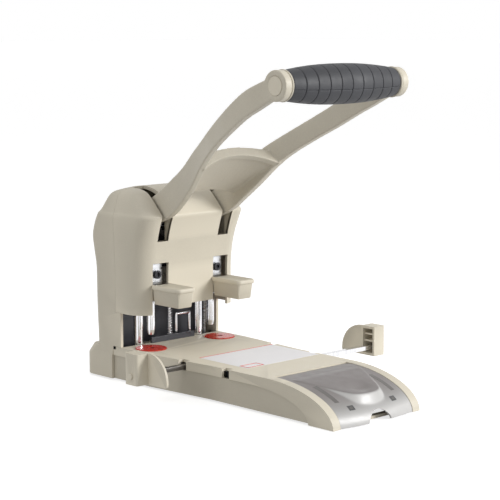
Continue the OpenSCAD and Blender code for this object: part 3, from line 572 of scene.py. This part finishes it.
def make_grip():
    grooves = [GRIP_L * (i / RIBS - 0.5) for i in range(1, RIBS)]
    rings = []
    for x in grip_stations(grooves):
        barrel = (GRIP_D + (GRIP_END_D - GRIP_D) * abs(2 * x / GRIP_L) ** GRIP_BULGE) / 2
        end = GRIP_L / 2 - abs(x)
        barrel -= GROOVE_DEPTH * math.exp(-(nearest(x, grooves) / GROOVE_W) ** 2)
        barrel -= max(END_ROUND - end, 0) * END_TURN
        ring = []
        for turn in grip_turns():
            a = math.radians(turn)
            r = barrel - SEAM_DEPTH * math.exp(-(nearest(turn, SEAM_TURNS) / SEAM_SPREAD) ** 2)
            ring.append((x, GRIP_Y + r * math.cos(a), GRIP_Z + r * math.sin(a)))
        rings.append(ring)
    stand_for("grip", loft(rings), 50)


make_grip()


# Finger knobs: a tapered block under an overhanging, dished top
KNOB_HALF, KNOB_REAR, KNOB_FRONT = 10.5, -16.4, -54.4
KNOB_R = 3
KNOB_BOW = 0.8
# How far each ring stands out from the knob's plan, and its height
KNOB_SIDE = ((-2.6, 81), (-1.9, 81.7), (-0.1, 96), (1.1, 96.4), (1.5, 96.9), (1.5, 99.2), (1.2, 99.9),
             (0.6, 100.4), (-0.3, 100.6), (-1.2, 100.5), (-2.2, 100))
# Share of the last of those rings and its height, down into the dish
KNOB_DISH = ((0.8, 99.2), (0.55, 98.6), (0.25, 98.4))
STEM_HALF, STEM_FRONT, STEM_REAR, STEM_LOW, STEM_HIGH = 7, -17, -9, 84, 94


def knob_ring(grow, z, scale=1.0):
    """Plan of a knob at one height, anticlockwise from its rear right corner."""
    half, front, corner = KNOB_HALF + grow, KNOB_FRONT - grow, max(KNOB_R + grow, 0.6)
    ring = [(half, KNOB_REAR), (-half, KNOB_REAR)]
    for x, start in ((-half + corner, 180), (half - corner, 270)):
        for i in range(9):
            turn = math.radians(start + 90 * i / 8)
            ring.append((x + corner * math.cos(turn), front + corner + corner * math.sin(turn)))
    bowed = [(x, y - KNOB_BOW * max(1 - (x / half) ** 2, 0) if y < front + 1 else y) for x, y in ring]
    middle = (KNOB_REAR + front) / 2
    return [(x * scale, middle + (y - middle) * scale, z) for x, y in bowed]


def make_knob(node, x):
    rings = [knob_ring(grow, z) for grow, z in KNOB_SIDE]
    rings += [knob_ring(KNOB_SIDE[-1][0], z, scale) for scale, z in KNOB_DISH]
    knob = loft([[(px + x, py, pz) for px, py, pz in ring] for ring in rings])
    stem = block(x - STEM_HALF, x + STEM_HALF, STEM_FRONT, STEM_REAR, STEM_LOW, STEM_HIGH)
    combine(knob, stem, "UNION")
    stand_for(node, knob, 40)


make_knob("knob_left", -PIN_X)
make_knob("knob_right", PIN_X)


# Return spring: wound finely, with its foot on the deck and its head under the crosshead
SPRING_Y, SPRING_R, SPRING_WIRE = 18.5, 2.9, 0.5
SPRING_LOW, SPRING_HIGH = 36.8, 82.2
SPRING_TURNS = 17


def make_spring():
    steps = 20
    count = SPRING_TURNS * steps
    rise = Vector((0, 0, 1))
    rings = []
    for i in range(count + 1):
        a = 2 * math.pi * i / steps
        out = Vector((math.cos(a), math.sin(a), 0))
        z = SPRING_LOW + (SPRING_HIGH - SPRING_LOW) * i / count
        centre = Vector((0, SPRING_Y, z)) + SPRING_R * out
        rings.append([tuple(centre + SPRING_WIRE * (math.cos(t) * out - math.sin(t) * rise))
                      for t in (2 * math.pi * k / 8 for k in range(8))])
    spring = loft(rings)
    spring.name = "return_spring_finish"
    smooth(spring.data, 60)
    spring.data.materials.append(materials[slot_of["return_spring"]])
    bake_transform(spring)
    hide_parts("return_spring")


make_spring()


# Storage lid: flush with the rails' elliptical nose, with a raised platform that ends in a round nose
RAIL_Y, RAIL_REACH = -187, 83.6
LID_TOP, LID_HALF, LID_T, LID_BOW = 34.7, 48, 2.2, 4.5
LID_START, LID_END = -0.008, math.radians(88.3)
HINGE_DROP, HINGE_RUN = 0.8, 14
PLATFORM_HALF, PLATFORM_REAR, PLATFORM_FRONT = 43.3, -209.7, -262.5
PLATFORM_TAPER, PLATFORM_ROUND = 0.45, 10
PLATFORM_Y, PLATFORM_SLOPE, PLATFORM_WALL = -205, 0.162, 0.95
DISH_X, DISH_Y, DISH_W, DISH_L, DISH_DEPTH = 2, -247, 12, 9, 2.2
NOTCH_Z, NOTCH_R, NOTCH_FRONT, NOTCH_REAR = -4.5, 16, -290, -255


def beyond_platform(x, y):
    """About how far a point is outside the platform's outline, less than nothing inside it."""
    side = math.sqrt(x * x + 9) - PLATFORM_HALF + PLATFORM_TAPER * max(PLATFORM_REAR - y, 0)
    side /= math.hypot(1, PLATFORM_TAPER)
    front = PLATFORM_FRONT - y
    return (side + front + math.hypot(side - front, PLATFORM_ROUND)) / 2


def lid_point(x, turn, depth):
    """Point of the lid, depth under its top; turn runs from the hinge to the front edge."""
    reach = RAIL_REACH + LID_BOW * (1 - (x / LID_HALF) ** 2)
    y = RAIL_Y - (reach - depth) * math.sin(turn)
    z = (LID_TOP - depth) * math.cos(turn) - HINGE_DROP * max(1 - (RAIL_Y - y) / HINGE_RUN, 0) ** 2
    out = beyond_platform(x, y)
    wall = PLATFORM_WALL * (out + math.sqrt(out * out + 0.5))
    dish = DISH_DEPTH * math.exp(-((x - DISH_X) / DISH_W) ** 2 - ((y - DISH_Y) / DISH_L) ** 2)
    platform = LID_TOP - depth - PLATFORM_SLOPE * max(PLATFORM_Y - y, 0) - wall - dish
    lift = platform - z
    fade = min(max((PLATFORM_Y + 2 - y) / 8, 0), 1)
    return x, y, z + 0.5 * (lift + math.sqrt(lift * lift + 1.2)) * fade


def make_lid():
    across, along = 130, 150
    turns = [LID_START + (LID_END - LID_START) * j / along for j in range(along + 1)]
    xs = [-LID_HALF + 2 * LID_HALF * i / across for i in range(across + 1)]
    wide = across + 1
    points = [lid_point(x, turn, depth) for depth in (0, LID_T) for turn in turns for x in xs]
    under = wide * (along + 1)
    faces = []
    for j in range(along):
        for i in range(across):
            a = j * wide + i
            faces.append((a, a + wide, a + wide + 1, a + 1))
            faces.append((under + a, under + a + 1, under + a + wide + 1, under + a + wide))
    for i in range(across):
        a, b = i, along * wide + i
        faces.append((a, a + 1, under + a + 1, under + a))
        faces.append((b + 1, b, under + b, under + b + 1))
    for j in range(along):
        a, b = j * wide, j * wide + across
        faces.append((a + wide, a, under + a, under + a + wide))
        faces.append((b, b + wide, under + b + wide, under + b))
    notch = rod((0, NOTCH_FRONT, NOTCH_Z), (0, NOTCH_REAR, NOTCH_Z), NOTCH_R)
    stand_for("storage_lid", cut(solid(points, faces), notch), 40)


make_lid()


# Fittings that show through the lid: two ribs at its sides, as dark pads on the lid that paint the ribs
# under it together with their painted shadow, and two hooks with eyes at its front
# Inner and outer distance from the middle, start and end in degrees of turn, rise and look
FITTINGS = {
    # dark pads for the ribs under the lid and their painted shadow
    "lid_rib_shadow_": (34.8, 39.8, 28, 53.5, 0.12, "smoked_shade"),
    "lid_hook_": (24.4, 31.4, 59.6, 66, 0.14, "smoked_dark"),
    "lid_eye_": (26.4, 29.4, 61.4, 64.2, 0.2, "smoked_shade"),
}
PAD_SUNK = 0.3


def on_lid(x0, x1, turn0, turn1, rise):
    """Thin pad that lies on the lid's surface."""
    along, across = 12, 6
    rings = []
    for j in range(along + 1):
        turn = math.radians(turn0 + (turn1 - turn0) * j / along)
        xs = [x0 + (x1 - x0) * i / across for i in range(across + 1)]
        low = [lid_point(x, turn, PAD_SUNK) for x in xs]
        high = [lid_point(x, turn, -rise) for x in xs]
        rings.append(low + list(reversed(high)))
    return loft(rings)


def make_fittings():
    for side, s in (("left", -1), ("right", 1)):
        for name, (near, far, start, end, rise, look) in FITTINGS.items():
            pad = on_lid(*sorted((s * near, s * far)), start, end, rise)
            settle(name + side, pad, "storage_lid", extras[look])


make_fittings()


# Blank paper label on the deck with a printed red line and a red frame
LABEL_SHEET = (-42, 55, -143, -75.5)
LABEL_LINE = (-42, 56, -76.6, -75.2)
FRAME_LEFT, FRAME_RIGHT, FRAME_FRONT, FRAME_REAR, FRAME_W = -40, -18, -142, -130, 1.6


def make_label():
    sheet = block(*LABEL_SHEET, DECK_Z + 0.02, DECK_Z + 0.14)
    settle("label_sheet", sheet, "deck_cover", extras["label_paper"])
    lines = [block(*LABEL_LINE, DECK_Z + 0.05, DECK_Z + 0.22)]
    for sides in ((FRAME_LEFT, FRAME_RIGHT, FRAME_REAR - FRAME_W, FRAME_REAR),
                  (FRAME_LEFT, FRAME_RIGHT, FRAME_FRONT, FRAME_FRONT + FRAME_W),
                  (FRAME_LEFT, FRAME_LEFT + FRAME_W, FRAME_FRONT, FRAME_REAR),
                  (FRAME_RIGHT - FRAME_W, FRAME_RIGHT, FRAME_FRONT, FRAME_REAR)):
        lines.append(block(*sides, DECK_Z + 0.05, DECK_Z + 0.2))
    for i, line in enumerate(lines):
        settle("label_line_%d" % i, line, "deck_cover", extras["label_red"])


make_label()


# Stage, light and camera
def seen_directly(tree):
    """1 for rays from the camera and in reflections and glass, 0 for light that falls on surfaces."""
    path = tree.nodes.new("ShaderNodeLightPath")
    total = path.outputs["Is Camera Ray"]
    for ray in ("Is Glossy Ray", "Is Transmission Ray"):
        most = tree.nodes.new("ShaderNodeMath")
        most.operation = "MAXIMUM"
        tree.links.new(total, most.inputs[0])
        tree.links.new(path.outputs[ray], most.inputs[1])
        total = most.outputs["Value"]
    return total


def floor_material():
    """White where it is seen, and shaded only where the punch keeps light off."""
    s = Shader("floor", Roughness=0.9)
    s.bsdf.inputs["Base Color"].default_value = (0.5, 0.5, 0.5, 1)
    glow = s.node("Emission")
    s.link(s.range(seen_directly(s.tree), 0.0, 0.72, 0.0, 1.0), glow.inputs["Strength"])
    both = s.node("AddShader")
    s.link(s.bsdf.outputs["BSDF"], both.inputs[0])
    s.link(glow.outputs["Emission"], both.inputs[1])
    s.link(both.outputs["Shader"], s.tree.nodes["Material Output"].inputs["Surface"])
    return s.material


def make_floor(size):
    mesh = bpy.data.meshes.new("floor")
    half = size / 2
    corners = [(-half, -half, 0), (half, -half, 0), (half, half, 0), (-half, half, 0)]
    mesh.from_pydata(corners, [], [(0, 1, 2, 3)])
    floor = bpy.data.objects.new("floor", mesh)
    bpy.context.scene.collection.objects.link(floor)
    mesh.materials.append(floor_material())


def make_world(light):
    """Soft white surroundings that the camera and reflections see as plain white."""
    world = bpy.data.worlds.new("studio")
    world.use_nodes = True
    bpy.context.scene.world = world
    tree = world.node_tree
    background = tree.nodes["Background"]
    background.inputs["Color"].default_value = (1, 1, 1, 1)
    strength = tree.nodes.new("ShaderNodeMapRange")
    strength.inputs["To Min"].default_value = light
    strength.inputs["To Max"].default_value = 1.0
    tree.links.new(seen_directly(tree), strength.inputs["Value"])
    tree.links.new(strength.outputs["Result"], background.inputs["Strength"])


def softbox(name, place, target, size, watts):
    light = bpy.data.lights.new(name, "AREA")
    light.size = size
    light.energy = watts
    lamp = bpy.data.objects.new(name, light)
    bpy.context.scene.collection.objects.link(lamp)
    lamp.location = place
    lamp.rotation_euler = (Vector(target) - Vector(place)).to_track_quat("-Z", "Y").to_euler()


def make_camera(place, azimuth, elevation, lens):
    camera = bpy.data.cameras.new("camera")
    camera.lens = lens
    camera.sensor_width = 36
    obj = bpy.data.objects.new("camera", camera)
    bpy.context.scene.collection.objects.link(obj)
    az, el = math.radians(azimuth), math.radians(elevation)
    look = Vector((math.sin(az) * math.cos(el), math.cos(az) * math.cos(el), -math.sin(el)))
    obj.location = place
    obj.rotation_euler = look.to_track_quat("-Z", "Y").to_euler()
    bpy.context.scene.camera = obj


make_floor(60)
make_world(0.42)
middle = (0, -0.08, 0.12)
softbox("key", (0.95, -1.6, 0.8), middle, 0.7, 31)
softbox("top", (-0.5, 0.0, 1.6), middle, 1.0, 4)
softbox("fill", (-1.5, 0.1, 0.6), middle, 0.9, 4)
make_camera((-1.062, -1.226, 0.355), 43.39, 7.93, 116.0)
bpy.context.scene.view_settings.view_transform = "Standard"
